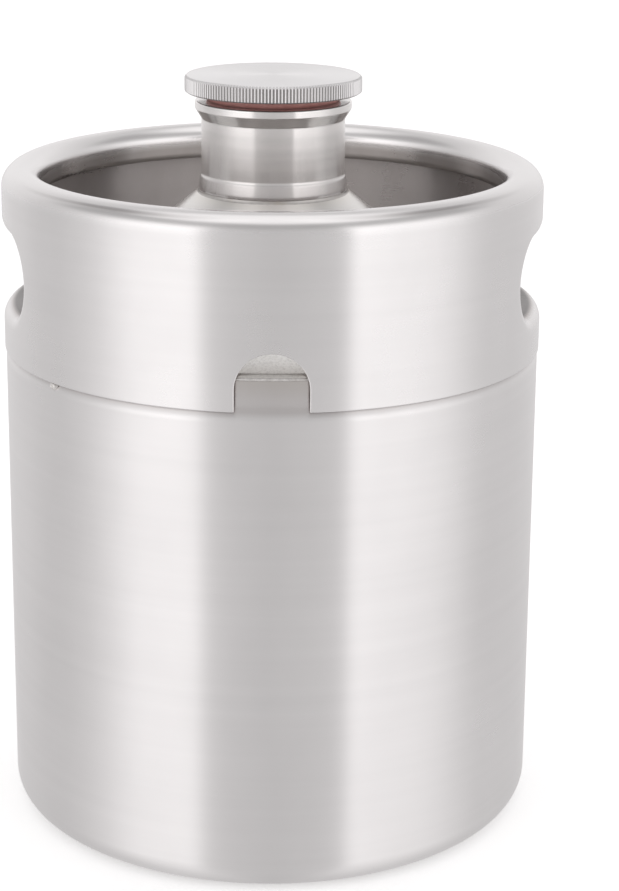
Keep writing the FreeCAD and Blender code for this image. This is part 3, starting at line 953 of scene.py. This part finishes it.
# ---------------------------------------------------------------- world
# soft panels round the keg: (degrees from the front towards +x, brightness)
PANELS = [
    (-180, 0.0), (-150, 0.06), (-128, 0.10), (-112, 0.03), (-100, 0.03), (-92, 0.12),
    (-84, 0.24), (-77, 0.42), (-70, 0.62), (-63, 0.84), (-57, 0.97), (-48, 1.0), (-35, 1.03),
    (-31.5, 0.88), (-28, 0.36), (-24, 0.15), (-15, 0.04), (0, -0.04), (16, 0.02), (26, 0.07),
    (30.5, 0.20), (33.5, 0.80), (36, 1.02), (42, 0.92), (50, 0.87), (60, 0.80), (71, 0.70),
    (79, 0.56), (86, 0.40), (93, 0.24), (101, 0.11), (180, 0.0),
]
# brightness is stored in the colour ramp as (brightness + PANEL_LIFT) / PANEL_SCALE
PANEL_LIFT = 0.1
PANEL_SCALE = 1.2


def panel_band(g, azimuth):
    position = g.add(g.math("DIVIDE", azimuth, TAU), 0.5)
    node = g.node("ValToRGB")
    ramp = node.color_ramp
    ramp.interpolation = "LINEAR"
    while len(ramp.elements) > 1:
        ramp.elements.remove(ramp.elements[-1])
    for i, (degrees, brightness) in enumerate(PANELS):
        stop = degrees / 360 + 0.5
        element = ramp.elements[0] if i == 0 else ramp.elements.new(stop)
        element.position = stop
        grey = (brightness + PANEL_LIFT) / PANEL_SCALE
        element.color = (grey, grey, grey, 1)
    g.put(node.inputs[0], position)
    return g.sub(g.mul(node.outputs[0], PANEL_SCALE), PANEL_LIFT)


def build_world():
    """Studio light for the keg; the camera itself sees plain white."""
    world = bpy.data.worlds.new("studio")
    bpy.context.scene.world = world
    g = Graph(world)
    output = g.node("OutputWorld")
    x, y, z = g.separate(g.node("TexCoord").outputs["Generated"])
    azimuth = g.math("ARCTAN2", x, g.mul(y, -1.0))
    elevation = g.math("ARCSINE", z)

    def climb(low, high, start, end):
        """Ramp over elevation, from low to high degrees."""
        return g.span(elevation, low * DEG, high * DEG, start, end)

    # panels, dimmer below the horizon and fading out overhead
    band = panel_band(g, azimuth)
    gain = climb(-34, 4, 0.24, 0.86)
    gain = g.mul(gain, climb(22, 42, 1.0, 0.15))
    front = g.add(g.mul(band, gain), 0.68)
    # a low glow behind the keg
    turned = g.math("ABSOLUTE", azimuth)
    back = g.mul(g.span(turned, 118 * DEG, 160 * DEG, 0.0, 1.0), climb(-20, 6, 0.0, 1.0))
    # a soft box overhead, with a darker gap below it except towards the back
    gap = g.mul(climb(24, 36, 0.0, -0.22), climb(54, 66, 1.0, 0.0))
    gap = g.mul(gap, g.span(y, 0.27, 0.48, 1.0, 0.0))
    top = g.add(gap, climb(54, 68, 0.0, 0.38))
    back = g.mul(back, climb(26, 48, 1.0, 0.0))
    light = g.add(g.add(front, g.mul(back, 0.22)), top)

    studio = g.node("Background", {"Color": (1.0, 0.985, 0.985, 1), "Strength": light})
    plain = g.node("Background", {"Color": (1, 1, 1, 1), "Strength": 1.05})
    camera_ray = g.node("LightPath").outputs["Is Camera Ray"]
    mixed = g.node("MixShader", {0: camera_ray, 1: studio.outputs[0], 2: plain.outputs[0]})
    g.put(output.inputs[0], mixed.outputs[0])


# ---------------------------------------------------------------- camera
CAMERA_PLACE = (0.36862, -552.38356, 265.01806)  # mm
CAMERA_YAW = 0.01647  # radians from +y towards +x
CAMERA_PITCH = 0.25754  # radians, downwards
CAMERA_ROLL = 0.00845
SENSOR_WIDTH = 36.0
LENS = 90.492462
SHIFT_Y = -0.11840629


def build_camera():
    data = bpy.data.cameras.new("camera")
    camera = link_object("camera", data)
    yaw, pitch, roll = CAMERA_YAW, CAMERA_PITCH, CAMERA_ROLL
    level = math.cos(pitch)
    forward = Vector((math.sin(yaw) * level, math.cos(yaw) * level, -math.sin(pitch)))
    right = Vector((math.cos(yaw), -math.sin(yaw), 0))
    up = right.cross(forward)
    rolled_right = right * math.cos(roll) + up * math.sin(roll)
    rolled_up = -right * math.sin(roll) + up * math.cos(roll)
    matrix = Matrix((rolled_right, rolled_up, -forward)).transposed().to_4x4()
    matrix.translation = Vector(CAMERA_PLACE) * MM
    camera.matrix_world = matrix
    data.sensor_width = SENSOR_WIDTH
    data.lens = LENS
    data.shift_y = SHIFT_Y
    data.clip_start = 0.01
    data.clip_end = 50
    bpy.context.scene.camera = camera


build_floor()
build_world()
build_camera()
bpy.context.scene.view_settings.view_transform = "Standard"
bpy.context.scene.view_settings.look = "None"
